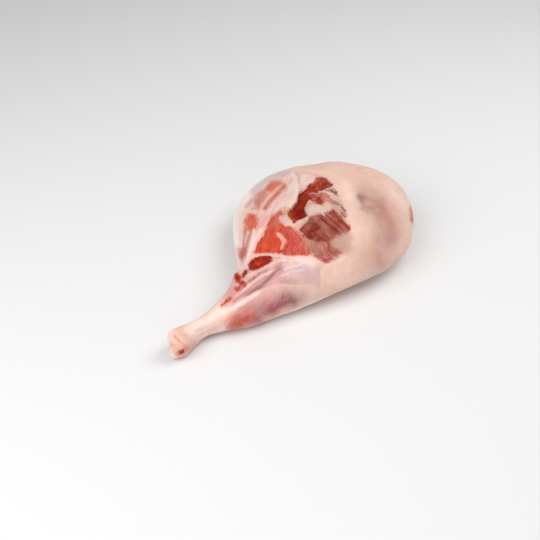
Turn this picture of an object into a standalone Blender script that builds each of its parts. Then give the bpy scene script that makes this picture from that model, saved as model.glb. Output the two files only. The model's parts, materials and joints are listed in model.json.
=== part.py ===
"""Bone-in leg of lamb, raw, lying on its outer side with its inner side up.

Metres, +Z up. +X runs along the leg from the hock to the rump. +Y is the crook side, where
the rump bulges out behind the shank, and -Y is the straight side.
The leg rests on z = 0, and the origin is under the middle of its bounding box.
The whole leg is one body: a loft of ribs from hock to rump, with the muscles, the cut pelvis
socket, the fat cover's rim and the tendons shaped into its skin.
"""

import math

import bmesh
import bpy
import numpy as np
from mathutils import Vector, noise

MM = 0.001

# Each rib is a cross-section of the leg, in millimetres: distance from the hock joint,
# reach to the crook side, reach to the straight side, underside, top.
RIBS = (
    (-7, 0, 0, 17, 17),
    (-5, 12, -9, 6, 28),
    (3, 17, -13, 0, 35),
    (20, 17, -10, 1, 33),
    (43, 13, -10, 3, 29),
    (65, 14, -22, 2, 31),
    (87, 16, -36, 0, 39),
    (109, 19, -45, -2, 48),
    (133, 31, -55, -4, 58),
    (157, 61, -67, -5, 68),
    (190, 99, -80, -5, 77),
    (223, 118, -91, -5, 84),
    (261, 126, -101, -5, 87),
    (299, 120, -101, -5, 87),
    (332, 103, -90, -4, 83),
    (361, 78, -71, 2, 78),
    (376, 51, -54, 9, 71),
    (384, -5, -5, 40, 40),
)
WIDEST_AT = 0.42  # height of the widest line, as a share of a rib's height
TOP_SQUARENESS = 2.15
UNDER_SQUARENESS = 2.2

# Marks on the inner side, each a line seen from above, in millimetres along and across the leg.
SOCKET = ((212, 4), (226, 16), (238, 23), (251, 30), (267, 32), (288, 32))
SOCKET_WALL = ((280, 73), (251, 42), (229, 29))
FAT_TONGUE = ((230, 8), (242, 0), (252, -14))
BUTT_VALLEY = ((300, -40), (302, -57), (292, -72), (277, -82), (254, -86))
CREASE_HIGH = ((298, -22), (300, -36), (298, -50))
CREASE_LOW = ((290, -40), (304, -54))
SEAM_OF_ROUNDS = ((197, -3), (192, -23), (188, -32))
WHITE_STRIPE = ((168, 38), (148, 25), (130, 14))
FAT_EDGE = ((191, -59), (182, -61), (177, -64), (170, -69))
HEEL_MUSCLE = ((124, 3), (135, -5), (146, -12))
CROOK_MUSCLE = ((186, 62), (167, 42))
RIM_MUSCLE = ((248, 77), (220, 75))
SHANK_GROOVE_SHORT = ((139, -19), (120, -11), (108, -5))
SHANK_GROOVE_LONG = ((131, -26), (106, -17), (80, -6), (64, 0))
TENDON = ((161, -62), (140, -49), (110, -33), (82, -21), (55, -9))
CALF = ((104, -36), (126, -49), (146, -57))

# How far each mark stands proud of the skin, or is sunk into it if negative, and its half-width.
RELIEF = (
    (SOCKET, -8.0, 8.0),
    (SOCKET_WALL, 2.0, 5.0),
    (FAT_TONGUE, 3.0, 6.0),
    (BUTT_VALLEY, -6.0, 11.0),
    (CREASE_HIGH, -2.2, 3.5),
    (CREASE_LOW, -1.8, 3.5),
    (SEAM_OF_ROUNDS, -1.5, 3.5),
    (WHITE_STRIPE, 1.6, 4.0),
    (FAT_EDGE, -1.5, 4.0),
    (HEEL_MUSCLE, 2.5, 6.0),
    (CROOK_MUSCLE, 2.0, 7.0),
    (RIM_MUSCLE, 1.8, 8.0),
    (SHANK_GROOVE_SHORT, -1.8, 3.5),
    (SHANK_GROOVE_LONG, -2.2, 4.0),
    (TENDON, 1.5, 4.0),
    (CALF, 2.0, 13.0),
)

# The cut face is a little lower than the fat cover that rolls over its rim.
FACE_OUTLINE = (
    (245, 98), (281, 72), (298, 46), (296, 20), (276, -8), (254, -42), (236, -74), (214, -74),
    (192, -60), (174, -36), (158, -20), (143, 0), (150, 34), (170, 60), (190, 74), (216, 86),
)
FACE_DEPTH = 2.0
FACE_EDGE = 8.0

# Lumps and hollows of the hock and of the crook: a centre, how far proud or sunk, a radius.
LUMPS = (
    ((-5, 13, 14), -6.0, 8.0),
    ((-6, 3, 19), -3.0, 6.0),
    ((-5, 0, 5), 3.5, 7.0),
    ((5, -7, 33), -1.5, 5.0),
    ((112, 14, 42), 4.0, 8.0),
)

UNEVENNESS = 0.9
UNEVENNESS_SPAN = 38.0

FADE_SHARE = 0.2  # the share of a mark's length over which each end fades out

RINGS = 190
RING_POINTS = 200
LINE_STEPS = 8
FACES_KEPT = 0.13

FAT_COLOUR = (0.80, 0.56, 0.47, 1.0)
FAT_ROUGHNESS = 0.45


def spline(knots, values, where):
    """A smooth curve through the values at the knots, read at the given places."""
    slopes = np.gradient(values, knots, axis=0)
    span = np.clip(np.searchsorted(knots, where, side="right") - 1, 0, len(knots) - 2)
    width = (knots[span + 1] - knots[span])[:, None]
    t = (where[:, None] - knots[span][:, None]) / width
    rise = values[span + 1] - values[span]
    start = slopes[span] * width
    end = slopes[span + 1] * width
    bend = 3 * rise - 2 * start - end + t * (start + end - 2 * rise)
    return values[span] + t * (start + t * bend)


def smooth_line(line):
    """A mark's line in metres, rounded through its points."""
    corners = np.array(line, float) * MM
    knots = np.arange(len(corners), dtype=float)
    return spline(knots, corners, np.linspace(0, knots[-1], LINE_STEPS * (len(corners) - 1) + 1))


def read_ribs(share):
    """The rib at each share of the way along the leg's side profile, 0 at the hock, 1 at the rump."""
    ribs = np.array(RIBS, float) * MM
    half_height = (ribs[:, 4] - ribs[:, 3]) / 2
    steps = np.hypot(np.diff(ribs[:, 0]), np.diff(half_height))
    knots = np.concatenate([[0], np.cumsum(steps)])
    return spline(knots, ribs, share * knots[-1]).T


def skin(share, around):
    """Points on the smooth leg. around turns from the crook side over the top, in radians."""
    along, crook, straight, under, top = read_ribs(share)
    widest = under + WIDEST_AT * (top - under)
    upper = np.sin(around) > 0
    power = np.where(upper, 2 / TOP_SQUARENESS, 2 / UNDER_SQUARENESS)
    height = np.where(upper, top - widest, widest - under)
    across = np.sign(np.cos(around)) * np.abs(np.cos(around)) ** power
    rise = np.sign(np.sin(around)) * np.abs(np.sin(around)) ** power
    y = (crook + straight) / 2 + (crook - straight) / 2 * across
    z = widest + height * rise
    return np.column_stack([along, y, z])


def distance_to_line(points, line):
    """How far each point of the plan is from a line, and how far along it, from 0 to 1."""
    nearest = np.full(len(points), np.inf)
    along = np.zeros(len(points))
    runs = len(line) - 1
    for index, (start, end) in enumerate(zip(line[:-1], line[1:])):
        run = end - start
        share = np.clip((points - start) @ run / (run @ run), 0, 1)
        gap = np.linalg.norm(points - start - share[:, None] * run, axis=1)
        along = np.where(gap < nearest, (index + share) / runs, along)
        nearest = np.minimum(nearest, gap)
    return nearest, along


def ease(share):
    """Goes from 0 to 1 with a soft start and end."""
    share = np.clip(share, 0, 1)
    return share * share * (3 - 2 * share)


def is_inside(points, outline):
    """Whether each point of the plan lies inside a closed outline."""
    inside = np.zeros(len(points), bool)
    for start, end in zip(outline[:-1], outline[1:]):
        rise = end[1] - start[1]
        if rise:
            spans = (start[1] > points[:, 1]) != (end[1] > points[:, 1])
            crossing = start[0] + (end[0] - start[0]) * (points[:, 1] - start[1]) / rise
            inside ^= spans & (points[:, 0] < crossing)
    return inside


def marks(plan):
    """How far the marks of the inner side stand proud at each point of the plan."""
    height = np.zeros(len(plan))
    for line, proud, half_width in RELIEF:
        gap, along = distance_to_line(plan, smooth_line(line))
        fade = ease(np.minimum(along, 1 - along) / FADE_SHARE)
        height += proud * MM * fade * np.exp(-(gap / (half_width * MM)) ** 2)
    outline = smooth_line(FACE_OUTLINE + FACE_OUTLINE[:1])
    edge = distance_to_line(plan, outline)[0]
    depth = np.where(is_inside(plan, outline), ease(edge / (FACE_EDGE * MM)), 0)
    return height - FACE_DEPTH * MM * depth


def lumps(points):
    """How far the lumps and hollows stand proud at each point."""
    height = np.zeros(len(points))
    for centre, proud, radius in LUMPS:
        gap = np.linalg.norm(points - np.array(centre) * MM, axis=1) / (radius * MM)
        height += proud * MM * np.exp(-gap ** 2)
    return height


def unevenness(points):
    """The slight waviness of soft meat."""
    waves = [noise.noise(Vector(point) / (UNEVENNESS_SPAN * MM)) for point in points]
    return UNEVENNESS * MM * np.array(waves)


def make_leg():
    """A ball's grid laid on the ribs, then shaped along its normals and flattened below."""
    shape = bmesh.new()
    bmesh.ops.create_uvsphere(shape, u_segments=RING_POINTS, v_segments=RINGS, radius=1)
    ball = np.array([vert.co[:] for vert in shape.verts])
    share = np.arccos(np.clip(ball[:, 2], -1, 1)) / math.pi
    around = np.arctan2(ball[:, 1], ball[:, 0])
    for vert, point in zip(shape.verts, skin(share, around)):
        vert.co = point
    bmesh.ops.recalc_face_normals(shape, faces=shape.faces)
    shape.normal_update()
    points = np.array([vert.co[:] for vert in shape.verts])
    normals = np.array([vert.normal[:] for vert in shape.verts])
    facing_up = np.clip(normals[:, 2] / 0.4, 0, 1)
    proud = marks(points[:, :2]) * facing_up + lumps(points) + unevenness(points)
    points += normals * proud[:, None]
    points[:, 2] = np.maximum(points[:, 2], 0)
    points[:, :2] -= (points[:, :2].min(axis=0) + points[:, :2].max(axis=0)) / 2
    for vert, point in zip(shape.verts, points):
        vert.co = point
    mesh = bpy.data.meshes.new("leg_of_lamb")
    shape.to_mesh(mesh)
    shape.free()
    return mesh


def make_fat_material():
    material = bpy.data.materials.new("lamb_fat")
    material.use_nodes = True
    surface = material.node_tree.nodes["Principled BSDF"]
    surface.inputs["Base Color"].default_value = FAT_COLOUR
    surface.inputs["Roughness"].default_value = FAT_ROUGHNESS
    surface.inputs["Metallic"].default_value = 0.0
    return material


def clear_scene():
    for obj in list(bpy.data.objects):
        bpy.data.objects.remove(obj)


def main():
    clear_scene()
    collection = bpy.data.collections.new("leg_of_lamb")
    bpy.context.scene.collection.children.link(collection)
    leg = bpy.data.objects.new("leg_of_lamb", make_leg())
    collection.objects.link(leg)
    leg.data.materials.append(make_fat_material())
    leg.data.shade_smooth()
    fewer_faces = leg.modifiers.new("fewer_faces", "DECIMATE")
    fewer_faces.ratio = FACES_KEPT


main()
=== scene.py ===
"""Looks of a raw bone-in leg of lamb, lying with its cut inner side up.

The leg's own solid is copied, remeshed finely and smoothed. Its tissues are then laid out on
it: the fat cover, the cut muscles, the pelvis socket, the streaks of fat between them, and the
thin membrane with its tendons on the shank. Each tissue is an outline or a line given in the
pixels of the camera's frame, and is cast onto the leg along the camera's rays. Some lines and
tints are painted shade, in gaps, grooves, creases and the rump's valley, and some are painted
light: glints, highlights on the knuckles and the shank's hem, and paler skin turned from the
lamps.
"""

import json
import math

import bpy
import numpy as np
from mathutils import Matrix, Vector, noise

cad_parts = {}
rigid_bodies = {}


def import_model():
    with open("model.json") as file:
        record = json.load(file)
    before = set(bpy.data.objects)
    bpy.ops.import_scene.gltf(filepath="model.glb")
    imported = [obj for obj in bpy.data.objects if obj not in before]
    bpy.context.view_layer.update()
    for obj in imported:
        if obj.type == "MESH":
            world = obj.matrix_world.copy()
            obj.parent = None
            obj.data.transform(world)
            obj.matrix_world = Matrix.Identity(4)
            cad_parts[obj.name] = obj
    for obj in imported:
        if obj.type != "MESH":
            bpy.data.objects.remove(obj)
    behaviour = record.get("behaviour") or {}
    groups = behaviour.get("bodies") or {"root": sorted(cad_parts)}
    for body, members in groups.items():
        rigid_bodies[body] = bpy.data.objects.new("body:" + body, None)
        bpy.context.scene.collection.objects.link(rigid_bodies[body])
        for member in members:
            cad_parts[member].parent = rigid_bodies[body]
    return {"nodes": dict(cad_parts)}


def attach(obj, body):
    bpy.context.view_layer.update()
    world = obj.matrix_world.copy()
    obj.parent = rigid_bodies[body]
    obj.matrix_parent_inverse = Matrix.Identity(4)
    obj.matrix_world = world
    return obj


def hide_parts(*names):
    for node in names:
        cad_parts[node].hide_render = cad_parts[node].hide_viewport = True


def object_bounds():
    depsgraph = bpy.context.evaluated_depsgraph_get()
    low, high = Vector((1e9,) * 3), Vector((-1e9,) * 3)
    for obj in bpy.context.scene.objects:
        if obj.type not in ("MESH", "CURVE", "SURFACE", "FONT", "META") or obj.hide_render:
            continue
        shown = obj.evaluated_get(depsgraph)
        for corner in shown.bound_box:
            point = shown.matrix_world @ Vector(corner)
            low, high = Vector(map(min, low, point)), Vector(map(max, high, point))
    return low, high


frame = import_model()
cad_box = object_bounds()

MM = 0.001

# The camera, and the frame's width in pixels.
FRAME_SIZE = 540.0
SENSOR_MM = 36.0
LENS_MM = 50.0
AZIMUTH = -46.6
ELEVATION = 42.0
AIM = (-0.0367, -0.0177, 0.040)
DISTANCE = 0.920
PIXEL_MM = 1.17  # what one pixel covers at the leg

# The leg's surface.
MERGE_GAP = 0.01 * MM
REMESH_VOXEL = 2.85 * MM
SMOOTHING = 0.5
SMOOTHING_ROUNDS = 8

# Cut muscles. Fibres run at an angle seen in the picture: 0 to the right, 90 up. Marbling is
# the share of fat among them, soft is how gently the edge fades, and proud is in millimetres.
MUSCLES = {
    "topside": dict(
        outline=((287, 211), (281, 210), (276, 213), (271, 216), (268, 222), (266, 230),
                 (261, 238), (257, 245), (254, 253), (262, 254), (270, 253), (279, 254),
                 (286, 254), (287, 246), (286, 240), (285, 233), (287, 228), (284, 224),
                 (283, 218)),
        colour="D25036", fibres=62, marbling=0.1, soft=1.1, proud=0.4),
    "silverside": dict(
        outline=((283, 227), (290, 226), (296, 230), (303, 236), (308, 241), (311, 247),
                 (312, 253), (305, 256), (298, 255), (291, 257), (283, 255), (282, 248),
                 (283, 240), (283, 233)),
        colour="CE5244", fibres=78, marbling=0.32, soft=1.2, proud=0.2),
    "rump_cut": dict(
        outline=((310, 217), (318, 214), (326, 216), (334, 223), (342, 232), (340, 237),
                 (332, 241), (324, 243), (314, 242), (308, 240), (303, 235), (299, 230),
                 (303, 224)),
        colour="862E20", fibres=-40, marbling=0.3, soft=1.4, proud=-0.3),
    "rump_strands": dict(
        outline=((325, 214), (329, 210), (333, 208), (338, 213), (344, 220), (350, 229),
                 (344, 235), (336, 229), (328, 220)),
        colour="861E10", fibres=-42, marbling=0.45, soft=1.1, proud=-0.2),
    "rump_low": dict(
        outline=((307, 240), (316, 241), (329, 240), (335, 245), (335, 252), (327, 257),
                 (318, 257), (312, 254), (308, 248)),
        colour="AC6A5A", fibres=-75, marbling=0.35, soft=4.0, proud=0.0),
    "flank": dict(
        outline=((312, 254), (322, 252), (328, 246), (334, 247), (343, 251), (338, 256),
                 (331, 261), (325, 263), (318, 259)),
        colour="AC5654", fibres=-20, marbling=0.5, soft=3.2, proud=0.2),
    "socket_high": dict(
        outline=((308, 185), (313, 182), (317, 177), (324, 177), (329, 181), (333, 186),
                 (328, 188), (322, 190), (316, 192), (310, 190), (307, 188)),
        colour="8A240C", fibres=62, marbling=0.25, soft=1.0, proud=-0.8),
    "socket_strands": dict(
        outline=((308, 193), (314, 192), (321, 193), (325, 197), (324, 203), (319, 204),
                 (312, 201), (308, 198)),
        colour="9E281A", fibres=-32, marbling=0.35, soft=1.0, proud=-0.5),
    "socket_fringe": dict(
        outline=((319, 192), (325, 190), (333, 189), (338, 196), (342, 206), (346, 216),
                 (341, 213), (335, 207), (328, 203), (322, 199)),
        colour="AC7066", fibres=-32, marbling=0.62, soft=2.2, proud=0.2),
    "socket_neck": dict(
        outline=((299, 194), (303, 191), (309, 187), (312, 190), (309, 197), (306, 202),
                 (304, 206), (298, 205)),
        colour="9C2600", fibres=50, marbling=0.0, soft=1.0, proud=-1.2),
    "socket_pit": dict(
        outline=((292, 206), (297, 202), (303, 203), (304, 209), (308, 215), (303, 218),
                 (297, 220), (294, 223), (291, 219), (287, 214), (288, 210)),
        colour="8C1000", fibres=50, marbling=0.0, soft=1.1, proud=-1.6),
    "rim_oval": dict(
        outline=((265, 190), (268, 184), (273, 181), (280, 181), (282, 185), (278, 190),
                 (271, 193)),
        colour="D87C60", fibres=35, marbling=0.2, soft=3.2, proud=0.5),
    "rim_oval_low": dict(
        outline=((256, 206), (255, 200), (259, 193), (264, 190), (269, 193), (266, 199),
                 (262, 204), (259, 209)),
        colour="C88580", fibres=45, marbling=0.4, soft=5.0, proud=0.4),
    "crook_oval": dict(
        outline=((245, 221), (248, 215), (252, 214), (257, 217), (257, 225), (254, 231),
                 (249, 232), (246, 227)),
        colour="DA6E54", fibres=80, marbling=0.15, soft=3.2, proud=0.6),
    "crook_low": dict(
        outline=((242, 248), (246, 247), (247, 252), (245, 258), (241, 259), (239, 254)),
        colour="BE6C5A", fibres=70, marbling=0.35, soft=1.8, proud=0.3),
    "heel_muscle": dict(
        outline=((249, 266), (251, 261), (257, 258), (265, 256), (270, 256), (273, 259),
                 (269, 264), (262, 268), (255, 271), (250, 270)),
        colour="980E00", fibres=25, marbling=0.05, soft=1.0, proud=1.0),
    "crook_red_high": dict(
        outline=((242, 277), (243, 273), (246, 270), (248, 272), (246, 276), (243, 279)),
        colour="842616", fibres=60, marbling=0.2, soft=1.1, proud=0.8),
    "crook_red_low": dict(
        outline=((236, 279), (236, 274), (239, 274), (242, 278), (241, 282), (238, 284)),
        colour="A82A10", fibres=40, marbling=0.3, soft=1.3, proud=0.8),
    "crook_red_foot": dict(
        outline=((240, 282), (243, 280), (246, 282), (246, 285), (243, 287), (240, 286)),
        colour="A03A34", fibres=40, marbling=0.3, soft=1.4, proud=0.6),
    "shin_muscle": dict(
        outline=((228, 324), (233, 318), (242, 314), (251, 312), (254, 315), (248, 322),
                 (240, 328), (229, 329)),
        colour="C6624C", fibres=25, marbling=0.3, soft=7.5, proud=0.4),
}
# The same tissue in narrow strips: a line and its half-width.
MUSCLE_STRIPS = {
    "rim_strip": dict(line=((265, 208), (270, 201), (277, 194), (284, 186)), half_width=2.1,
                      colour="C8746C", proud=0.3, marbling=0.4, soft=2.6),
    "crook_strip": dict(line=((252, 230), (249, 239), (247, 247)), half_width=1.2,
                        colour="CE8C80", proud=0.1, marbling=0.4, soft=2.0),
    "crook_strip_left": dict(line=((246, 226), (244, 237), (243, 248)), half_width=1.0,
                             colour="C88C7C", proud=0.1, marbling=0.3, soft=1.8),
    "shank_strip_high": dict(line=((244, 283), (240, 288), (237, 290)), half_width=1.6,
                             colour="B85450", proud=0.4, marbling=0.4, soft=1.6),
    "shank_strip": dict(line=((230, 298), (227, 301), (222, 305)), half_width=1.3,
                        colour="BE4A40", proud=0.2, marbling=0.2, soft=1.2),
    "hock_spot": dict(line=((180, 353), (183, 351)), half_width=2.1, colour="A83E16",
                      proud=-0.6, marbling=0.0, soft=1.6),
    "rump_edge": dict(line=((412, 208), (413, 221)), half_width=1.8, colour="C87460",
                      proud=0.0, marbling=0.2, soft=2.4),
}
STRIP_FIBRES = 40

# Soft changes of colour within the muscles, and a painted glint on the heel muscle: a line,
# how far the tint reaches, its colour and its strength.
MUSCLE_TINTS = {
    "topside_high": (((281, 214), (275, 223)), 6, "C87660", 0.8),
    "topside_core": (((270, 245), (260, 251)), 6, "E0502E", 0.5),
    "topside_edge": (((281, 212), (286, 210)), 4, "B4642E", 0.7),
    "silverside_seam": (((287, 234), (285, 250)), 2, "B03A2A", 0.6),
    "silverside_pale": (((303, 243), (309, 251)), 4, "CC7468", 0.7),
    "rump_core": (((308, 235), (315, 226), (320, 238)), 5, "762014", 0.7),
    "rump_pale": (((322, 222), (330, 234)), 4, "B47066", 0.75),
    "rump_brown": (((307, 224), (315, 218)), 4, "9C6458", 0.7),
    "rump_tan": (((310, 246), (319, 247)), 4.5, "BC8874", 0.85),
    "rump_column": (((328, 239), (331, 250)), 3, "984438", 0.8),
    "flank_red": (((320, 259), (327, 259)), 3, "B44450", 0.8),
    "flank_brown": (((334, 256), (341, 253)), 3, "A86860", 0.6),
    "socket_glow": (((321, 182), (314, 188)), 3, "AE3E18", 0.8),
    "socket_dark": (((327, 182), (332, 186)), 3, "74301E", 0.7),
    "neck_dark": (((300, 194), (300, 202)), 2, "6E1C06", 0.6),
    "fringe_grey": (((332, 197), (343, 209)), 4, "CDAA9C", 0.7),
    "pit_orange": (((289, 210), (290, 217)), 3, "A8540E", 0.95),
    "pit_foot": (((293, 218), (297, 219)), 2, "C04A24", 0.8),
    "pit_brown": (((303, 212), (307, 215)), 2.5, "7C3428", 0.7),
    "shin_pink": (((246, 315), (254, 313)), 5, "C46E6C", 0.85),
    "shin_left": (((228, 322), (233, 320)), 4, "D88E7E", 0.7),
    "heel_core": (((254, 266), (262, 263)), 2.5, "AC2C0C", 0.8),
    "heel_glint": (((257, 264), (259, 264)), 1.3, "D85C2C", 0.7),
}

# Fat and sinew lying over the cut face: outline, softness of the edge, strength, colour and
# relief.
FAT_PATCHES = {
    "socket_tongue": (((304, 208), (307, 204), (312, 203), (320, 205), (328, 207), (333, 206),
                       (333, 209), (328, 212), (320, 214), (312, 215), (306, 213)),
                      1.8, 0.92, "D4B8A8", 0.8),
    "socket_lip": (((293, 228), (298, 229), (303, 225), (308, 220), (303, 220), (297, 224)),
                   1.6, 0.8, "D8AC98", 0.6),
    "socket_lip_low": (((279, 218), (284, 215), (289, 219), (292, 224), (287, 226), (281, 223)),
                       1.8, 0.8, "DEB8B2", 0.5),
    "rump_veil": (((338, 235), (347, 231), (352, 238), (345, 247), (336, 247), (331, 242)), 5.0,
                  0.8, "C09888", 0.0),
    "socket_shelf": (((298, 187), (303, 181), (310, 177), (314, 179), (308, 184), (302, 190)),
                     1.8, 0.7, "DCC2B8", 0.4),
    "chevron": (((277, 233), (280, 233), (283, 236), (286, 239), (287, 242), (285, 245),
                 (283, 249), (280, 250), (281, 246), (282, 242), (280, 239), (277, 236)),
                1.1, 0.9, "F0AA92", 0.4),
    "pit_link": (((280, 209), (285, 207), (288, 209), (287, 213), (283, 214)), 1.6, 0.75,
                 "DCAE8E", 0.2),
}
# Fat, sinew, painted shade in gaps, painted glints and dried marks in narrow lines: line,
# half-width, softness of the edge, strength, colour and relief.
LINES = {
    "tendon": (((316, 287), (296, 286), (282, 285), (271, 287), (257, 293), (245, 300)),
               0.7, 1.6, 0.7, "E8C4BC", 0.5),
    "tendon_low": (((258, 293), (248, 299), (238, 305), (228, 310), (216, 315)), 2.2, 2.2, 0.85,
                   "F6DCD2", 0.5),
    "heel_rim": (((246, 268), (248, 261), (256, 256), (266, 254)), 0.8, 1.4, 0.75, "F0C4B4", 0.4),
    "heel_low": (((274, 263), (268, 266), (258, 271), (247, 276)), 1.1, 1.3, 0.8, "F2C4B2", 0.4),
    "heel_mauve": (((281, 264), (271, 269), (262, 273)), 1.0, 1.5, 0.7, "C08C94", 0.2),
    "crook_glint": (((243, 279), (246, 281)), 0.8, 1.2, 0.8, "F2BCB2", 0.3),
    "crook_glint_high": (((240, 272), (241, 275)), 0.8, 1.2, 0.7, "F0AC90", 0.3),
    "neck_wrinkle": (((196, 331), (208, 326), (222, 317)), 0.8, 2.6, 0.55, "D2B4A8", -0.4),
    "neck_wrinkle_low": (((198, 336), (212, 330), (228, 323)), 0.8, 2.6, 0.55, "D4B0A4", -0.4),
    "hock_wrinkle": (((175, 337), (178, 341)), 0.5, 1.5, 0.6, "D8947C", -0.4),
    "white_stripe": (((254, 231), (252, 242), (249, 254), (245, 264)), 1.4, 2.4, 0.75, "F0DAD8",
                     0.6),
    "stripe_shade": (((250, 233), (248, 242), (246, 248)), 0.8, 1.6, 0.6, "B87C74", -0.2),
    "crook_edge": (((243, 236), (241, 246)), 0.8, 1.5, 0.6, "F2D6CE", 0.3),
    "chevron_shade": (((284, 235), (287, 240), (286, 245)), 0.5, 1.2, 0.7, "A83424", -0.2),
    "topside_seam": (((285, 246), (283, 253)), 0.7, 1.3, 0.6, "B8402C", -0.2),
    "topside_rim": (((268, 220), (272, 216), (278, 212)), 0.7, 1.6, 0.7, "E8AE8C", 0.2),
    "round_seam": (((293, 228), (302, 238), (308, 243)), 0.6, 1.3, 0.75, "CE9486", 0.2),
    "socket_wall": (((293, 173), (297, 187), (296, 198), (291, 206)), 2.0, 2.2, 0.8, "E8D0C8",
                    0.8),
    "rim_line": (((262, 206), (268, 198), (274, 191), (280, 186)), 0.8, 1.8, 0.75, "EAB49E", 0.3),
    "rim_line_low": (((268, 208), (276, 199), (284, 191)), 0.7, 1.6, 0.6, "ECC0B6", 0.2),
    "face_edge": (((252, 256), (264, 255), (280, 256), (296, 257), (310, 258), (320, 262),
                   (326, 265), (336, 262), (346, 257)), 0.7, 1.5, 0.75, "F0CABE", 0.4),
    "tongue_shade": (((308, 203), (316, 203), (323, 205)), 0.6, 1.2, 0.7, "8C5A4A", -0.5),
    "wall_line": (((297, 174), (306, 173), (319, 176)), 0.8, 1.8, 0.6, "C4A094", -0.2),
    "high_glint": (((313, 183), (318, 179)), 0.7, 1.4, 0.6, "C8745A", 0.2),
    "fringe_a": (((318, 190), (333, 194)), 0.8, 1.0, 0.85, "E0C6BA", 0.5),
    "fringe_b": (((313, 193), (330, 200)), 0.5, 1.0, 0.7, "D89484", 0.3),
    "fringe_c": (((326, 202), (340, 207)), 0.9, 1.2, 0.7, "E4C6BA", 0.4),
    "strands_high": (((309, 191), (315, 201)), 0.6, 1.2, 0.6, "D47C68", 0.2),
    "strand_a": (((330, 215), (347, 231)), 0.7, 1.0, 0.8, "B86C60", 0.3),
    "strand_b": (((326, 217), (343, 233)), 0.8, 1.1, 0.8, "B06A5E", 0.3),
    "strand_c": (((335, 212), (350, 227)), 0.6, 1.0, 0.6, "BE7468", 0.2),
    "rump_rim": (((308, 217), (318, 214), (328, 213)), 0.8, 1.6, 0.6, "B88878", 0.2),
    "face_shadow": (((272, 260), (283, 259), (294, 261)), 0.5, 1.2, 0.7, "B08488", -0.3),
    # Partly the groove's darker tissue, partly painted shade in the groove by the heel muscle.
    "heel_groove": (((267, 270), (260, 273), (255, 277), (247, 282)), 1.0, 1.5, 0.95, "86605E",
                    -0.8),
    "heel_groove_high": (((281, 263), (288, 262)), 0.8, 2.0, 0.6, "9C7C82", -0.4),
    "heel_groove_end": (((273, 259), (281, 258)), 0.6, 1.4, 0.7, "AC7C70", -0.3),
    "knee_groove": (((296, 262), (284, 266), (274, 272)), 0.4, 1.6, 0.6, "C09A9C", -0.3),
    "knee_streak": (((284, 270), (292, 267), (302, 264)), 0.5, 2.0, 0.7, "F2E2E0", 0.2),
    "knee_streak_low": (((282, 276), (292, 272), (304, 270)), 0.5, 2.0, 0.6, "EEDCDA", 0.2),
    "knee_seam": (((318, 268), (320, 278), (319, 288)), 0.5, 1.6, 0.5, "D0A494", -0.2),
    "crescent": (((296, 173), (299, 177), (299, 182)), 1.1, 1.8, 0.65, "AC9084", -0.4),
    "crescent_low": (((300, 187), (302, 191)), 0.9, 1.8, 0.6, "A87A66", -0.3),
    "rim_fleck": (((246, 206), (251, 201)), 1.2, 2.0, 0.6, "AC9088", -0.2),
    "rim_fleck_low": (((252, 209), (255, 208)), 0.8, 1.2, 0.7, "94786E", -0.2),
    "wall_fleck": (((284, 208), (286, 207)), 0.7, 1.2, 0.7, "90806A", -0.2),
    "lip_fleck": (((285, 217), (287, 217)), 0.7, 1.2, 0.7, "9C846C", -0.2),
    # Painted shade in the gaps between the strings of fat.
    "notch_a": (((332, 191), (336, 193)), 1.5, 1.2, 0.9, "62402F", -0.6),
    "notch_b": (((333, 203), (338, 205)), 1.5, 1.2, 0.9, "664436", -0.6),
    "notch_c": (((341, 207), (345, 212)), 1.5, 1.2, 0.9, "6E4C3C", -0.6),
    "notch_d": (((341, 213), (345, 217)), 1.2, 1.3, 0.8, "7C5848", -0.6),
    "string_a": (((326, 192), (340, 199)), 0.8, 1.1, 0.8, "E6CCC0", 0.4),
    "string_b": (((331, 197), (342, 204)), 0.8, 1.1, 0.8, "E2C6BA", 0.4),
    "string_c": (((336, 206), (346, 214)), 0.8, 1.1, 0.8, "E4C8BC", 0.4),
    "strand_gap_a": (((332, 211), (349, 229)), 1.3, 1.1, 0.9, "84261A", -0.5),
    "strand_gap_b": (((320, 217), (341, 235)), 0.9, 1.1, 0.95, "6E1E14", -0.5),
    "strand_gap_c": (((326, 214), (346, 233)), 0.7, 1.1, 0.9, "7C2418", -0.5),
}

# Folds, ridges and hollows: a line, its reach in pixels, and how far it stands proud in
# millimetres. The last value is 1 for a form that goes right round the leg.
FORMS = {
    "hock_notch": (((166, 344), (170, 344)), 3, -1.0, 1),
    "edge_tuft": (((404, 254), (405, 256)), 2, 1.2, 1),
    "edge_tuft_low": (((393, 264), (395, 263)), 2, 0.9, 1),
    "crook_lobe": (((236, 271), (236, 281), (234, 290)), 4.5, 3.2, 1),
    "hock_condyle": (((171, 332), (169, 339)), 3, 0.8, 0),
    "hock_condyle_low": (((171, 351), (174, 357)), 3, 0.8, 0),
    "hock_saddle": (((170, 346), (177, 347)), 3, -1.0, 0),
    "hock_knuckle": (((172, 335), (182, 340)), 5, 0.8, 0),
    "hock_dimple": (((178, 337), (182, 343)), 2, -0.8, 0),
    "butt_valley": (((380, 209), (387, 217), (390, 229), (387, 241), (379, 252)), 8, -1.6, 0),
    "butt_crease": (((357, 193), (368, 203), (380, 209)), 6, -1.6, 0),
    "calf": (((255, 309), (290, 300)), 9, 2.0, 0),
    "calf_groove": (((240, 312), (262, 297), (285, 291)), 3, -0.9, 0),
    "shank_groove": (((281, 263), (262, 276), (240, 293)), 2.5, -1.2, 0),
    "shank_muscle": (((278, 275), (262, 284), (246, 296)), 5, 1.0, 0),
    "neck_groove": (((232, 306), (214, 318), (196, 326)), 3, -0.8, 0),
    "face_step": (((256, 258), (280, 260), (306, 261), (322, 266)), 3, 1.2, 0),
    "flank_seam": (((326, 264), (321, 271), (319, 288)), 2.5, -1.0, 0),
    "socket": (((320, 184), (304, 198), (297, 214)), 6, -2.2, 0),
    "membrane_hollow": (((288, 186), (266, 216)), 7, -1.2, 0),
    "rump_brow": (((340, 182), (352, 205), (358, 232)), 8, 1.5, 0),
}
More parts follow.
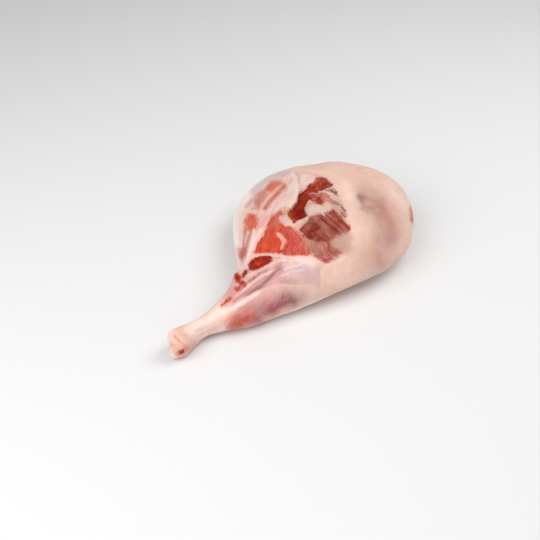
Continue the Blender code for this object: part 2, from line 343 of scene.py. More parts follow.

# Soft changes of colour in the fat and the membrane; some of them are painted shade, and some
# painted light, as their names and the notes above them say: a line, how far the tint reaches,
# its colour and its strength.
TINTS = {
    "brow_fat": (((300, 166), (370, 172)), 14, "E2BCAC", 0.6),
    "rump_fat": (((354, 205), (358, 240)), 13, "E0BEAC", 0.7),
    "butt_fat": (((408, 195), (411, 225), (402, 250)), 8, "ECCCBA", 0.75),
    "flank_fat": (((340, 283), (362, 276)), 10, "E8C6B8", 0.7),
    "flank_shade": (((366, 278), (392, 264)), 7, "DAC0B6", 0.7),
    # Pale fat along the left rim, made paler still as painted light where it turns from the
    # lamps.
    "rim_fat_and_painted_light": (((270, 178), (250, 190), (238, 202), (232, 220), (233, 240), (239, 262)), 7,
                "F6EAE6", 0.95),
    "rim_grey": (((254, 192), (262, 184), (272, 178), (284, 174)), 4.6, "CCB0AC", 0.85),
    "rim_mauve": (((254, 200), (251, 206)), 3.5, "D0AAA4", 0.7),
    "rim_pink": (((240, 250), (243, 262)), 4, "CC938C", 0.8),
    "socket_side": (((300, 179), (306, 182), (302, 192)), 5, "E4CCC4", 0.8),
    "membrane_grey": (((292, 190), (284, 202), (272, 210)), 7, "DCC0B6", 0.8),
    "membrane_high": (((284, 192), (275, 202)), 5, "DCAAA6", 0.5),
    "membrane_side": (((263, 218), (261, 230)), 5, "D69C9A", 0.75),
    "membrane_low": (((262, 232), (256, 246)), 5, "F0C4BA", 0.8),
    "membrane_foot": (((285, 260), (300, 261), (312, 264)), 4, "FADAD6", 0.85),
    "flank_tan": (((338, 243), (346, 248)), 7.5, "B98E7E", 0.85),
    "strand_tan": (((334, 210), (342, 214)), 5, "BC8C7A", 0.6),
    "fringe_pink": (((332, 185), (344, 201), (351, 216)), 5, "E0BEAE", 0.7),
    # The rump's crease: painted shade, and darker marks that are partly its colour and partly
    # shade.
    "crease_painted_shade": (((363, 187), (380, 197)), 8, "C6A496", 0.75),
    "crease_spot": (((361, 196), (370, 200), (381, 204)), 4.6, "A2766C", 0.85),
    "crease_dark": (((359, 196), (363, 197)), 2.4, "80625A", 0.7),
    "crease_pink": (((367, 202), (378, 204)), 1.4, "D6A49C", 0.6),
    "crease_line": (((360, 197), (362, 202), (366, 206), (373, 207), (380, 206), (385, 209)), 1.7,
                    "946A60", 0.7),
    "crease_below": (((363, 208), (369, 211)), 3, "AE8A7E", 0.7),
    # The rump's valley: its own tan, brown and mauve, with painted shade of the hollow worked in.
    "valley_wide_and_shade": (((378, 208), (385, 217), (388, 230), (383, 246), (374, 256)), 17,
                    "BE9686", 0.7),
    "valley_brown_and_shade": (((384, 213), (389, 221), (391, 231), (390, 238)), 8, "AA766A", 0.7),
    "valley_mauve_and_shade": (((394, 236), (388, 243)), 5, "B08484", 0.6),
    "valley_foot": (((383, 242), (380, 246)), 4, "C8ACA8", 0.5),
    "valley_pink": (((380, 257), (380, 262)), 5, "C08A80", 0.55),
    "rump_pink": (((352, 172), (360, 174)), 5, "E4B8AA", 0.4),
    "butt_pale": (((390, 186), (402, 200)), 7, "E6CABE", 0.6),
    "rump_pale": (((345, 186), (350, 197)), 6, "EED2C4", 0.6),
    "shank_lilac": (((300, 271), (312, 274)), 8.5, "C6A6A8", 0.85),
    "knee_dull": (((282, 270), (289, 272)), 3.5, "CCA6A6", 0.6),
    "knee_shade": (((306, 282), (317, 283)), 5, "C8A69E", 0.7),
    "knee_pink": (((282, 281), (295, 284)), 6, "B98886", 0.8),
    "shank_pink": (((272, 268), (258, 276), (246, 285), (232, 297)), 6, "D8A09E", 0.8),
    "mauve_band": (((279, 269), (271, 277), (263, 285), (255, 291), (248, 296)), 4.6, "A66A6E",
                   0.9),
    "mauve_core": (((273, 274), (262, 283)), 1.7, "985C62", 0.6),
    "mauve_core_low": (((259, 287), (249, 296)), 2.4, "925A60", 0.7),
    "pale_band": (((272, 269), (259, 280), (250, 286), (243, 291), (235, 297)), 2.4, "F8C8C0",
                  0.85),
    "groove_low": (((266, 276), (256, 283), (246, 291), (234, 301)), 1.4, "9A6A6E", 0.65),
    "pale_line": (((284, 273), (275, 281), (267, 287), (259, 294), (250, 301)), 1.8, "D8A09C",
                  0.75),
    "pale_line_low": (((281, 279), (270, 288), (259, 293)), 1.5, "DCA4A0", 0.6),
    "shank_red": (((238, 291), (231, 298), (225, 304)), 3.2, "CC827A", 0.8),
    "knee_cream": (((286, 292), (300, 290), (316, 293)), 6, "DCBAAC", 0.8),
    # Painted shade on the calf.
    "calf_painted_shade": (((292, 301), (301, 297)), 7, "B48C86", 0.7),
    "calf_mauve": (((246, 310), (262, 305), (276, 299), (287, 295)), 7, "B87C7C", 0.85),
    "calf_low": (((255, 315), (264, 312), (273, 310)), 5, "A46868", 0.8),
    "calf_magenta": (((271, 308), (283, 303)), 4.8, "A0505F", 0.8),
    "calf_brown": (((284, 298), (293, 301)), 5, "8E5C5A", 0.75),
    "shin_orange": (((235, 321), (250, 317)), 6, "C05640", 0.9),
    "shin_edge": (((252, 318), (259, 320)), 4.5, "A06660", 0.75),
    "shin_peach": (((221, 319), (229, 318)), 5, "E89A82", 0.8),
    "neck_cream": (((190, 330), (205, 321), (220, 311)), 9, "F6DECF", 0.9),
    "hock_cream": (((172, 336), (184, 345)), 9, "F0C6B4", 0.9),
    # Painted light on the lower side of the neck, which turns from the lamps.
    "neck_low_painted_light": (((200, 337), (214, 332), (228, 327)), 4, "F6E0D8", 0.6),
    "neck_under": (((187, 348), (194, 345)), 4, "CC9C98", 0.7),
    # Painted highlight along the upper knuckle's rim.
    "hock_rim_painted_highlight": (((172, 329), (168, 334), (167, 341)), 2.6, "F0E4E2", 0.7),
    "hock_saddle": (((169, 345), (177, 348)), 3, "DDA898", 0.6),
    "hock_salmon": (((175, 336), (178, 340)), 1.8, "CE8E78", 0.75),
    "hock_salmon_high": (((180, 334), (185, 335)), 2.2, "E4A894", 0.7),
    "hock_salmon_low": (((180, 342), (184, 346)), 2.2, "DE9E8A", 0.7),
    # Painted highlight along the lower knuckle's rim.
    "hock_foot_painted_highlight": (((171, 352), (175, 358)), 4, "E8D6D0", 0.9),
    # Painted highlight along the shank's lower edge, where it curls under.
    "shank_hem_painted_highlight": (((262, 325), (284, 315), (304, 307), (328, 298)), 1.9, "FFF0E8", 0.75),
    "hock_halo": (((176, 351), (178, 355)), 2.6, "E0A080", 0.7),
    "hock_brown": (((183, 351), (186, 349)), 3, "C88468", 0.7),
}

# Thin, streaky membrane: a line, its reach, the run of its streaks in degrees, its strength.
MEMBRANES = {
    "face": (((290, 178), (274, 202), (264, 220), (256, 242)), 10, 52, 0.8),
    "shank": (((288, 268), (270, 278), (252, 290), (240, 299)), 8, 33, 0.5),
    "knee": (((296, 268), (312, 276)), 10, 38, 0.2),
    "calf": (((294, 299), (270, 306), (240, 319)), 8, 27, 0.5),
}

# Tissue colours where the camera doesn't look: the fat of the outer side, and the shank, with
# the place along the leg where one gives way to the other, and over what length.
FAT_COLOUR = "E2BBAB"
SHANK_COLOUR = "DCAAA0"
SHANK_END = -60 * MM
SHANK_BLEND = 50 * MM

# Soft patches there: colour, strength and a shift that sets the patterns apart. Muscle shows
# faintly through the fat in some, and the fat is thicker in others.
UNDER_PATCHES = {
    "muscle_under": ("C98476", 0.35, 3),
    "thick_fat": ("EFD9CB", 0.6, 7),
}
PATCH_SPAN = 45 * MM
PATCH_OCTAVES = (1.0, 2.0, 3)  # how fast the finer waves fade, their step and their number
PATCH_CONTRAST = 0.5

# The fell, the papery skin over the whole leg: the run of its streaks in degrees, and how much
# of it shows on the round and on the shank.
FELL_FIBRES = 47
FELL_SHARE = 0.3
FELL_SHARE_SHANK = 0.6

# The unevenness of soft meat: span, height, and a shift that sets the waves apart, in metres.
WAVES = ((22 * MM, 0.9 * MM, 0.0), (8 * MM, 0.3 * MM, 0.3))

# How squarely the skin must face the camera for its cuts, and for its soft tints, to show:
# where each starts, and over what span it grows full.
CUT_FADE = (0.02, 0.16)
TINT_FADE = (-0.40, 0.42)

CURVE_STEPS = 4
FAR_OUTSIDE = 40.0  # pixels; lines further away than this aren't measured
DEPTH_LIMIT = 12.0  # millimetres; no tissue counts as deeper
BLEND_LIMITS = (-30, 5)  # pixels; depths beyond these count as these when looks are blended
RELIEF_START = -0.5  # pixels; relief starts just outside an edge
RELIEF_SPAN = 2.0  # pixels; it is full this much further in

# Patterns in the flesh: how many to a metre, detail and roughness. Lobes are 3 mm wide,
# blotches 24 mm, dapples 9 mm, lobules of fat 2.4 mm and mottles 8 mm.
PATTERNS = {
    "lobes": (330.0, 3.0, 0.6),
    "blotches": (42.0, 1.5, 0.5),
    "dapples": (115.0, 2.0, 0.5),
    "lobules": (420.0, 2.0, 0.5),
    "mottles": (130.0, 3.0, 0.6),
}
# Patterns drawn out along fibres: how many to a millimetre across, along and down, detail,
# roughness and distortion. Bundles of muscle fibres are 2.4 mm wide and 20 mm long, the
# threads between them 1.1 by 10 mm, and the membrane's streaks 3 by 36 mm.
FIBRE_PATTERNS = {
    "bundles": ("grain", (0.42, 0.05, 0.1), 3.0, 0.55, 0.3),
    "threads": ("grain", (0.9, 0.10, 0.2), 2.0, 0.5, 0.4),
    "streaks": ("film_grain", (0.33, 0.028, 0.1), 3.0, 0.6, 0.15),
}

# The fat cover's layers, each over its own pattern: where in the pattern the layer starts and is
# full, its strength, and the shade that it multiplies the colour by.
FAT_LAYERS = {
    "blotches": (0.42, 0.75, 0.35, (0.93, 0.78, 0.76, 1.0)),
    "dapples": (0.42, 0.68, 0.5, (1.06, 1.12, 1.12, 1.0)),
    "lobules": (0.35, 0.7, 0.5, (1.08, 1.13, 1.16, 1.0)),
}
# Shades, multiplied in too, of the gaps between bundles of muscle, of the membrane's red streaks
# and of the hollows in the sinew.
MUSCLE_SHADE = (0.74, 0.58, 0.55, 1.0)
STREAK_SHADE = (0.72, 0.42, 0.42, 1.0)
SINEW_SHADE = (0.84, 0.70, 0.66, 1.0)
# The membrane's white streaks, and fat as threads, as mottles and as a veil over muscle.
STREAK_WHITE = "F6DED8"
MARBLING_FAT = "D8947F"
MOTTLE_FAT = "D88C7C"
THIN_FAT = "DFA090"
THIN_FAT_MM = 4.0
# How far lobes and threads push a muscle's edge out or in.
LOBE_REACH_MM = 1.3
THREAD_REACH_MM = 1.0
MUSCLE_ROUGHNESS = 0.38
FAT_ROUGHNESS = 0.50

# Soft boxes: place, the point they are turned to, width in metres, and watts.
SOFT_BOXES = {
    "key": ((0.70, -0.45, 1.25), (0.02, 0, 0.05), 0.9, 10.1),
    "fill": ((-0.95, 0.08, 0.95), (0, 0, 0.05), 1.2, 11.5),
    "low": ((-0.7, -0.95, 0.35), (-0.05, 0, 0.03), 0.6, 1.3),
}
ROOM_LIGHT = 0.42
FLOOR_WIDTH = 8.0
FLOOR_COLOUR = "E6E6E6"


def linear(text):
    """A hex colour as linear light."""
    parts = [int(text[i:i + 2], 16) / 255 for i in (0, 2, 4)]
    return np.array([c / 12.92 if c <= 0.04045 else ((c + 0.055) / 1.055) ** 2.4 for c in parts])


def rgba(text):
    return tuple(linear(text)) + (1.0,)


def ease(share):
    """Goes from 0 to 1 with a soft start and end."""
    share = np.clip(share, 0, 1)
    return share * share * (3 - 2 * share)


# Casting outlines onto the leg.

def camera_axes():
    """The camera's place and its right, up and forward directions."""
    turn = math.radians(AZIMUTH)
    tilt = math.radians(ELEVATION)
    level = math.cos(tilt)
    back = np.array([math.sin(turn) * level, -math.cos(turn) * level, math.sin(tilt)])
    right = np.array([math.cos(turn), math.sin(turn), 0.0])
    up = np.cross(back, right)
    return np.array(AIM) + back * DISTANCE, right, up, -back


def to_pixels(points):
    """Where points appear in the camera's frame."""
    place, right, up, forward = camera_axes()
    offset = points - place
    scale = FRAME_SIZE * LENS_MM / SENSOR_MM / (offset @ forward)
    middle = FRAME_SIZE / 2
    return np.column_stack([middle + offset @ right * scale, middle - offset @ up * scale])


def camera_facing(points, normals, start, span):
    """1 where the skin faces the camera, 0 where it turns away."""
    towards = camera_axes()[0] - points
    towards /= np.linalg.norm(towards, axis=1)[:, None]
    return ease((np.einsum("ij,ij->i", normals, towards) - start) / span)


def rounded(line, closed=False):
    """A line of straight runs made a smooth curve through the same points."""
    line = np.array(line, float)
    count = len(line)
    if not closed and count < 3:
        return line
    curve = []
    for index in range(count if closed else count - 1):
        picks = [index - 1, index, index + 1, index + 2]
        picks = [i % count if closed else min(max(i, 0), count - 1) for i in picks]
        before, start, end, after = line[picks]
        for t in np.arange(CURVE_STEPS) / CURVE_STEPS:
            curve.append(0.5 * (2 * start + (end - before) * t
                                + (2 * before - 5 * start + 4 * end - after) * t ** 2
                                + (3 * start - before - 3 * end + after) * t ** 3))
    curve.append(line[0] if closed else line[-1])
    return np.array(curve)


def distance_to_line(points, curve):
    """How far each pixel position is from a line of straight runs."""
    nearest = np.full(len(points), FAR_OUTSIDE)
    low = curve.min(axis=0) - FAR_OUTSIDE
    high = curve.max(axis=0) + FAR_OUTSIDE
    near = np.all((points > low) & (points < high), axis=1)
    close = points[near]
    best = np.full(len(close), FAR_OUTSIDE)
    for start, end in zip(curve[:-1], curve[1:]):
        run = end - start
        share = np.clip((close - start) @ run / (run @ run), 0, 1)
        best = np.minimum(best, np.linalg.norm(close - start - share[:, None] * run, axis=1))
    nearest[near] = best
    return nearest


def depth_inside(points, outline):
    """How far inside a closed outline each position is, negative outside."""
    curve = rounded(outline, closed=True)
    inside = np.zeros(len(points), bool)
    for start, end in zip(curve[:-1], curve[1:]):
        rise = end[1] - start[1]
        if rise:
            spans = (start[1] > points[:, 1]) != (end[1] > points[:, 1])
            crossing = start[0] + (end[0] - start[0]) * (points[:, 1] - start[1]) / rise
            inside ^= spans & (points[:, 0] < crossing)
    return distance_to_line(points, curve) * np.where(inside, 1, -1)


def depth_in_strip(points, line, half_width):
    return half_width - distance_to_line(points, rounded(line))


def nearness(points, line, reach):
    """1 on a line, fading softly to 0 beyond its reach."""
    return np.exp(-(distance_to_line(points, rounded(line)) / reach) ** 2)


def fibre_frame(angle):
    """Directions along and across the fibres, in plan, for an angle seen in the picture."""
    right = np.array([math.cos(math.radians(AZIMUTH)), math.sin(math.radians(AZIMUTH))])
    away = np.array([-right[1], right[0]]) / math.sin(math.radians(ELEVATION))
    along = right * math.cos(math.radians(angle)) + away * math.sin(math.radians(angle))
    along /= np.linalg.norm(along)
    return along, np.array([-along[1], along[0]])


def fibre_places(points, angle):
    """Millimetres across, along and down fibres that run at an angle."""
    along, across = fibre_frame(angle)
    return np.column_stack([points[:, :2] @ across, points[:, :2] @ along, points[:, 2]]) / MM


# The leg's surface.

def deselect_all():
    for obj in bpy.context.view_layer.objects:
        obj.select_set(False)


def apply_modifier(obj, name, kind, **settings):
    modifier = obj.modifiers.new(name, kind)
    for key, value in settings.items():
        setattr(modifier, key, value)
    bpy.context.view_layer.objects.active = obj
    bpy.ops.object.modifier_apply(modifier=modifier.name)


def make_surface():
    """A finely meshed, smoothed copy of the leg's solid."""
    deselect_all()
    node = frame["nodes"]["leg_of_lamb"]
    surface = bpy.data.objects.new("leg_surface", node.data.copy())
    bpy.context.scene.collection.objects.link(surface)
    surface.data.materials.clear()
    surface.select_set(True)
    bpy.context.view_layer.objects.active = surface
    bpy.ops.object.mode_set(mode="EDIT")
    bpy.ops.mesh.select_all(action="SELECT")
    bpy.ops.mesh.remove_doubles(threshold=MERGE_GAP)
    bpy.ops.object.mode_set(mode="OBJECT")
    apply_modifier(surface, "round_facets", "SUBSURF", levels=1, render_levels=1)
    apply_modifier(surface, "even_mesh", "REMESH", mode="VOXEL", voxel_size=REMESH_VOXEL)
    apply_modifier(surface, "smooth", "SMOOTH", factor=SMOOTHING, iterations=SMOOTHING_ROUNDS)
    apply_modifier(surface, "finer", "SUBSURF", levels=1, render_levels=1)
    surface.data.shade_smooth()
    return surface


def read_vertices(mesh):
    """The places and normals of a mesh's vertices."""
    points = np.empty(len(mesh.vertices) * 3)
    mesh.vertices.foreach_get("co", points)
    normals = np.empty(len(mesh.vertices) * 3)
    mesh.vertices.foreach_get("normal", normals)
    return points.reshape(-1, 3), normals.reshape(-1, 3)


class Tissue:
    """One kind of tissue: how deep each point lies in each of its parts, and their looks."""

    def __init__(self):
        self.depths = []
        self.looks = []

    def add(self, depth, **looks):
        self.depths.append(depth)
        self.looks.append(looks)

    def depth(self, front):
        """In millimetres, negative outside; nothing shows where the skin faces away."""
        deepest = np.max(self.depths, axis=0) * PIXEL_MM
        return np.clip(deepest, -DEPTH_LIMIT, DEPTH_LIMIT) * front - DEPTH_LIMIT * (1 - front)

    def blend(self, values):
        """Each point's value, taken mostly from the part it lies deepest in."""
        weights = np.exp(np.clip(np.column_stack(self.depths), *BLEND_LIMITS))
        return (weights @ np.array(values)) / weights.sum(axis=1)[:, None]

    def colours(self):
        return self.blend([linear(look["colour"]) for look in self.looks])

    def share(self, name):
        return self.blend([[look[name]] for look in self.looks])

    def relief(self, front):
        """How far the parts stand proud, in millimetres."""
        height = np.zeros(len(front))
        for depth, look in zip(self.depths, self.looks):
            height += look["proud"] * ease((depth - RELIEF_START) / RELIEF_SPAN)
        return height * front

    def grain(self, points):
        """Places across and along the fibres of the part each point is deepest in."""
        deepest = np.argmax(self.depths, axis=0)
        grain = np.zeros((len(points), 3))
        for index, look in enumerate(self.looks):
            chosen = deepest == index
            grain[chosen] = fibre_places(points[chosen], look["fibres"])
        return grain


def lay_out_muscles(pixels):
    lean = Tissue()
    for part in MUSCLES.values():
        lean.add(depth_inside(pixels, part["outline"]), **part)
    for part in MUSCLE_STRIPS.values():
        depth = depth_in_strip(pixels, part["line"], part["half_width"])
        lean.add(depth, fibres=STRIP_FIBRES, **part)
    return lean


def lay_out_sinews(pixels):
    sinew = Tissue()
    for outline, soft, strength, colour, proud in FAT_PATCHES.values():
        sinew.add(depth_inside(pixels, outline), soft=soft, strength=strength, colour=colour,
                  proud=proud)
    for line, half_width, soft, strength, colour, proud in LINES.values():
        sinew.add(depth_in_strip(pixels, line, half_width), soft=soft, strength=strength,
                  colour=colour, proud=proud)
    return sinew


def blend_in(colours, colour, amount):
    """The colours, moved towards one colour by an amount for each point."""
    return colours + (linear(colour) - colours) * amount[:, None]


def tint(colours, pixels, tints, share=1.0):
    """Works soft changes of colour, with their painted shade and light, into the colours."""
    for line, reach, colour, strength in tints.values():
        colours = blend_in(colours, colour, strength * nearness(pixels, line, reach) * share)
    return colours


def shank_share(points):
    """1 on the shank, 0 on the round."""
    return ease((SHANK_END - points[:, 0]) / SHANK_BLEND + 0.5)


def patches(points, shift):
    """Soft patches, from 0 to 1."""
    shift = Vector((shift, 0, 0))
    waves = [noise.fractal(Vector(point) / PATCH_SPAN + shift, *PATCH_OCTAVES)
             for point in points]
    return ease(np.array(waves) / PATCH_CONTRAST)


def skin_colours(points, pixels, front):
    """The fat cover and the shank's membrane, with soft changes of colour, painted shade and
    light.
    """
    shank = shank_share(points)[:, None]
    colours = linear(FAT_COLOUR) * (1 - shank) + linear(SHANK_COLOUR) * shank
    for colour, strength, shift in UNDER_PATCHES.values():
        colours = blend_in(colours, colour, strength * patches(points, shift) * (1 - front))
    return tint(colours, pixels, TINTS, front)


def lay_out_membranes(points, pixels, front):
    """How much streaky membrane shows, and places across and along its streaks."""
    film = FELL_SHARE + (FELL_SHARE_SHANK - FELL_SHARE) * shank_share(points)
    film *= 1 - front
    grain = fibre_places(points, FELL_FIBRES)
    for line, reach, angle, strength in MEMBRANES.values():
        share = strength * nearness(pixels, line, reach) * front
        stronger = share > film
        grain[stronger] = fibre_places(points[stronger], angle)
        film = np.maximum(film, share)
    return film, grain


def form_height(pixels, front):
    """The folds, ridges and hollows, in millimetres."""
    height = np.zeros(len(pixels))
    for line, reach, proud, all_round in FORMS.values():
        height += proud * nearness(pixels, line, reach) * (1.0 if all_round else front)
    return height


def shape_surface(mesh, lean, sinew, pixels, front, points, normals):
    """Raises and sinks the tissues, and gives the fat its unevenness."""
    height = (lean.relief(front) + sinew.relief(front) + form_height(pixels, front)) * MM
    for span, most, shift in WAVES:
        height += most * np.array([noise.noise(Vector(point) / span) for point in points + shift])
    placed = np.clip(points + normals * height[:, None], *np.array(cad_box))
    mesh.vertices.foreach_set("co", placed.ravel())
    mesh.update()


def store(mesh, kind, field, values_by_name):
    """Keeps values per vertex, by name, for the material to read."""
    for name, values in values_by_name.items():
        layer = mesh.attributes.new(name, kind, "POINT")
        layer.data.foreach_set(field, np.asarray(values, float).ravel())


def opaque(colours):
    return np.column_stack([colours, np.ones(len(colours))])


# Materials. A map range's sockets and a colour mix's are told apart by number.
VALUE, FROM_LOW, FROM_HIGH, TO_LOW, TO_HIGH = range(5)
SHARE, UNDER, OVER, MIXED = 0, 6, 7, 2
ADD = {"operation": "ADD"}
SUBTRACT = {"operation": "SUBTRACT"}
TIMES = {"operation": "MULTIPLY"}
DIVIDE = {"operation": "DIVIDE"}
SMOOTH = {"interpolation_type": "SMOOTHSTEP"}
COVER = {"data_type": "RGBA"}
SHADE = {"data_type": "RGBA", "blend_type": "MULTIPLY"}


def add_node(tree, kind, settings, inputs, output=0):
    """Adds a node, sets it up, fills or links its inputs, and returns one of its outputs."""
    node = tree.nodes.new("ShaderNode" + kind)
    for key, value in settings.items():
        setattr(node, key, value)
    for key, value in inputs.items():
        if isinstance(value, bpy.types.NodeSocket):
            tree.links.new(value, node.inputs[key])
        else:
            node.inputs[key].default_value = value
    return node.outputs[output]


def new_material(name):
    material = bpy.data.materials.new(name)
    material.use_nodes = True
    return material, material.node_tree.nodes["Principled BSDF"].inputs


def read_tissues(tree, names_by_output):
    """What is kept on the vertices, and the patterns in the flesh, by name."""
    flesh = {}
    for output, names in names_by_output.items():
        for name in names:
            flesh[name] = add_node(tree, "Attribute", {"attribute_name": name}, {}, output)
    place = add_node(tree, "TexCoord", {}, {}, "Object")
    for name, (scale, detail, roughness) in PATTERNS.items():
        flesh[name] = add_node(tree, "TexNoise", {}, {
            "Vector": place, "Scale": scale, "Detail": detail, "Roughness": roughness})
    for name, (grain, scale, detail, roughness, distortion) in FIBRE_PATTERNS.items():
        drawn_out = add_node(tree, "VectorMath", TIMES, {0: flesh[grain], 1: scale})
        flesh[name] = add_node(tree, "TexNoise", {}, {
            "Vector": drawn_out, "Scale": 1.0, "Detail": detail, "Roughness": roughness,
            "Distortion": distortion})
    return flesh


def show_edges(tree, flesh):
    """How much muscle and sinew shows. Their edges are ragged: lobes, and threads of fibre."""
    lobe_reach = add_node(tree, "MapRange", {}, {
        VALUE: flesh["lobes"], FROM_LOW: 0.3, FROM_HIGH: 0.7,
        TO_LOW: -LOBE_REACH_MM, TO_HIGH: LOBE_REACH_MM})
    thread_reach = add_node(tree, "MapRange", {}, {
        VALUE: flesh["threads"], FROM_LOW: 0.3, FROM_HIGH: 0.7,
        TO_LOW: -THREAD_REACH_MM, TO_HIGH: THREAD_REACH_MM})
    ragged = add_node(tree, "Math", ADD, {0: lobe_reach, 1: thread_reach})
    ragged_most = add_node(tree, "MapRange", {}, {
        VALUE: flesh["lean_soft"], FROM_LOW: 1.0, FROM_HIGH: 6.0, TO_LOW: 1.0, TO_HIGH: 1.8})
    ragged_edge = add_node(tree, "Math", TIMES, {0: ragged, 1: ragged_most})
    lean_depth = add_node(tree, "Math", ADD, {0: flesh["lean"], 1: ragged_edge})
    lean_share = add_node(tree, "Math", DIVIDE, {0: lean_depth, 1: flesh["lean_soft"]})
    sinew_ragged = add_node(tree, "Math", TIMES, {0: lobe_reach, 1: 0.6})
    sinew_depth = add_node(tree, "Math", ADD, {0: flesh["sinew"], 1: sinew_ragged})
    sinew_share = add_node(tree, "Math", DIVIDE, {0: sinew_depth, 1: flesh["sinew_soft"]})
    flesh["lean_depth"] = lean_depth
    flesh["lean_mask"] = add_node(tree, "MapRange", SMOOTH, {
        VALUE: lean_share, FROM_LOW: -1.0, FROM_HIGH: 1.0})
    flesh["sinew_mask"] = add_node(tree, "MapRange", SMOOTH, {
        VALUE: sinew_share, FROM_LOW: -1.0, FROM_HIGH: 0.9, TO_HIGH: flesh["sinew_strength"]})


def colour_fat(tree, flesh):
    """The fat cover: creamy pink, with faint redder blotches, and paler dapples and lobules."""
    fat = flesh["skin_tint"]
    for name, (low, high, most, shade) in FAT_LAYERS.items():
        share = add_node(tree, "MapRange", SMOOTH, {
            VALUE: flesh[name], FROM_LOW: low, FROM_HIGH: high, TO_HIGH: most})
        fat = add_node(tree, "Mix", SHADE, {SHARE: share, UNDER: fat, OVER: shade}, MIXED)
    return fat


def colour_membrane(tree, flesh, fat):
    """Over the fat, streaks of muscle show through the membrane, with whiter sinew between."""
    skin = fat
    for settings, high, most, colour in (
            (SHADE, 0.3, 0.45, STREAK_SHADE),
            (COVER, 0.68, 0.55, rgba(STREAK_WHITE))):
        streak = add_node(tree, "MapRange", SMOOTH, {
            VALUE: flesh["streaks"], FROM_LOW: 0.5, FROM_HIGH: high, TO_HIGH: most})
        share = add_node(tree, "Math", TIMES, {0: streak, 1: flesh["film"]})
        skin = add_node(tree, "Mix", settings, {SHARE: share, UNDER: skin, OVER: colour}, MIXED)
    return skin


def colour_muscle(tree, flesh):
    """Muscle, darker between its bundles, with pale threads and mottles of fat."""
    bundle_share = add_node(tree, "MapRange", SMOOTH, {
        VALUE: flesh["bundles"], FROM_LOW: 0.34, FROM_HIGH: 0.66})
    muscle = add_node(tree, "Mix", SHADE, {
        SHARE: bundle_share, UNDER: flesh["lean_tint"], OVER: MUSCLE_SHADE}, MIXED)
    fat_line = add_node(tree, "MapRange", {}, {
        VALUE: flesh["marbling"], TO_LOW: 0.74, TO_HIGH: 0.42})
    fat_over = add_node(tree, "Math", SUBTRACT, {0: flesh["threads"], 1: fat_line})
    thread_share = add_node(tree, "MapRange", SMOOTH, {
        VALUE: fat_over, FROM_LOW: -0.05, FROM_HIGH: 0.10, TO_HIGH: 0.7})
    marbled = add_node(tree, "Mix", COVER, {
        SHARE: thread_share, UNDER: muscle, OVER: rgba(MARBLING_FAT)}, MIXED)
    mottle_most = add_node(tree, "MapRange", {}, {
        VALUE: flesh["marbling"], FROM_HIGH: 0.5, TO_LOW: 0.05, TO_HIGH: 0.4})
    mottle_share = add_node(tree, "MapRange", SMOOTH, {
        VALUE: flesh["mottles"], FROM_LOW: 0.4, FROM_HIGH: 0.7, TO_HIGH: mottle_most})
    return add_node(tree, "Mix", COVER, {
        SHARE: mottle_share, UNDER: marbled, OVER: rgba(MOTTLE_FAT)}, MIXED)


def lay_together(tree, flesh, skin, muscle):
    """Fat thins out towards the muscle, which shows through, and sinew lies over both."""
    thin_fat = add_node(tree, "MapRange", SMOOTH, {
        VALUE: flesh["lean_depth"], FROM_LOW: -THIN_FAT_MM, FROM_HIGH: 0.0, TO_HIGH: 0.45})
    veiled = add_node(tree, "Mix", COVER, {
        SHARE: thin_fat, UNDER: skin, OVER: rgba(THIN_FAT)}, MIXED)
    laid = add_node(tree, "Mix", COVER, {
        SHARE: flesh["lean_mask"], UNDER: veiled, OVER: muscle}, MIXED)
    sinew_shade = add_node(tree, "MapRange", SMOOTH, {
        VALUE: flesh["lobes"], FROM_LOW: 0.48, FROM_HIGH: 0.72, TO_HIGH: 0.5})
    sinew = add_node(tree, "Mix", SHADE, {
        SHARE: sinew_shade, UNDER: flesh["sinew_tint"], OVER: SINEW_SHADE}, MIXED)
    return add_node(tree, "Mix", COVER, {
        SHARE: flesh["sinew_mask"], UNDER: laid, OVER: sinew}, MIXED)


def raise_grain(tree, flesh):
    """Lobules of the fat, and fibres of the muscle and the membrane, as fine bumps."""
    fibres = add_node(tree, "Math", ADD, {0: flesh["bundles"], 1: flesh["threads"]})
    muscle = add_node(tree, "Math", TIMES, {0: fibres, 1: flesh["lean_mask"]})
    film = add_node(tree, "Math", TIMES, {0: flesh["streaks"], 1: flesh["film"]})
    fat = add_node(tree, "Math", TIMES, {0: flesh["lobules"], 1: 0.3})
    skin = add_node(tree, "Math", ADD, {0: film, 1: fat})
    height = add_node(tree, "Math", ADD, {0: muscle, 1: skin})
    return add_node(tree, "Bump", {}, {"Strength": 0.5, "Distance": 0.8 * MM, "Height": height})


def make_lamb_material(names_by_output):
    """Raw lamb: moist muscle under a matte, slightly waxy fat cover, all a little translucent."""
    material, surface = new_material("raw_lamb")
    tree = material.node_tree
    flesh = read_tissues(tree, names_by_output)
    show_edges(tree, flesh)
    skin = colour_membrane(tree, flesh, colour_fat(tree, flesh))
    colour = lay_together(tree, flesh, skin, colour_muscle(tree, flesh))
    tree.links.new(colour, surface["Base Color"])
    tree.links.new(raise_grain(tree, flesh), surface["Normal"])

    # Cut muscle is wetter than fat. All of it is mostly water, and light sinks in a few mm.
    wetness = add_node(tree, "MapRange", {}, {
        VALUE: flesh["lean_mask"], TO_LOW: FAT_ROUGHNESS, TO_HIGH: MUSCLE_ROUGHNESS})
    tree.links.new(wetness, surface["Roughness"])
    surface["IOR"].default_value = 1.40
    surface["Specular IOR Level"].default_value = 0.14
    surface["Subsurface Weight"].default_value = 0.15
    surface["Subsurface Radius"].default_value = (1.0, 0.35, 0.25)
    surface["Subsurface Scale"].default_value = 3 * MM
    return material


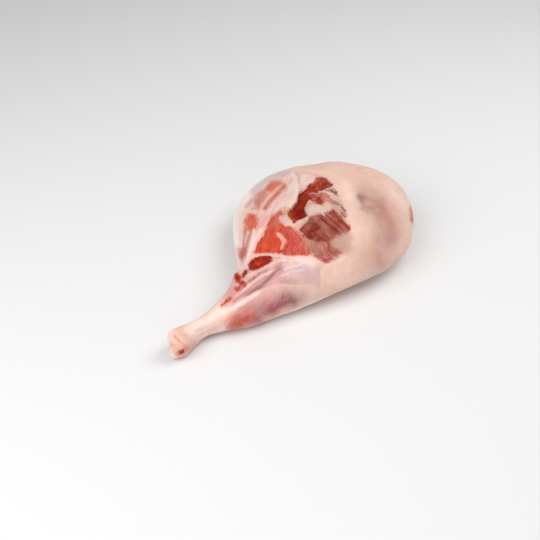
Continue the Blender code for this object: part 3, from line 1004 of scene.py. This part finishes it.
def make_leg():
    surface = make_surface()
    mesh = surface.data
    points, normals = read_vertices(mesh)
    pixels = to_pixels(points)
    front = camera_facing(points, normals, *CUT_FADE)
    round_front = camera_facing(points, normals, *TINT_FADE)
    lean = lay_out_muscles(pixels)
    sinew = lay_out_sinews(pixels)
    film, film_grain = lay_out_membranes(points, pixels, round_front)
    shape_surface(mesh, lean, sinew, pixels, front, points, normals)
    values = {
        "lean": lean.depth(front), "lean_soft": lean.share("soft"),
        "marbling": lean.share("marbling"), "film": film,
        "sinew": sinew.depth(front), "sinew_soft": sinew.share("soft"),
        "sinew_strength": sinew.share("strength")}
    grains = {"grain": lean.grain(points), "film_grain": film_grain}
    colours = {
        "lean_tint": opaque(tint(lean.colours(), pixels, MUSCLE_TINTS)),
        "sinew_tint": opaque(sinew.colours()),
        "skin_tint": opaque(skin_colours(points, pixels, round_front))}
    store(mesh, "FLOAT", "value", values)
    store(mesh, "FLOAT_VECTOR", "vector", grains)
    store(mesh, "FLOAT_COLOR", "color", colours)
    mesh.materials.append(make_lamb_material({"Fac": values, "Vector": grains, "Color": colours}))
    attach(surface, "root")
    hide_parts("leg_of_lamb")


# Camera and studio.

def make_camera():
    camera = bpy.data.objects.new("camera", bpy.data.cameras.new("camera"))
    bpy.context.scene.collection.objects.link(camera)
    place, right, up, forward = camera_axes()
    turned = Matrix((right, up, -forward)).transposed().to_4x4()
    camera.matrix_world = Matrix.Translation(Vector(place)) @ turned
    camera.data.lens = LENS_MM
    camera.data.sensor_width = SENSOR_MM
    bpy.context.scene.camera = camera


def add_soft_box(name, place, aim, width, watts):
    light = bpy.data.objects.new(name, bpy.data.lights.new(name, "AREA"))
    bpy.context.scene.collection.objects.link(light)
    light.data.size = width
    light.data.energy = watts
    light.location = place
    light.rotation_euler = (Vector(place) - Vector(aim)).to_track_quat("Z", "Y").to_euler()


def make_studio():
    """A pale floor and soft, nearly shadowless light from above, a little from the right."""
    deselect_all()
    bpy.ops.mesh.primitive_plane_add(size=FLOOR_WIDTH, location=(0, 0, 0))
    floor = bpy.context.object
    floor.name = "floor"
    material, paper = new_material("pale_paper")
    paper["Base Color"].default_value = rgba(FLOOR_COLOUR)
    paper["Roughness"].default_value = 0.8
    floor.data.materials.append(material)
    world = bpy.data.worlds.new("studio")
    bpy.context.scene.world = world
    world.use_nodes = True
    room = world.node_tree.nodes["Background"].inputs
    room["Color"].default_value = (1, 1, 1, 1)
    room["Strength"].default_value = ROOM_LIGHT
    for name, box in SOFT_BOXES.items():
        add_soft_box(name, *box)
    bpy.context.scene.view_settings.view_transform = "Standard"


make_leg()
make_camera()
make_studio()
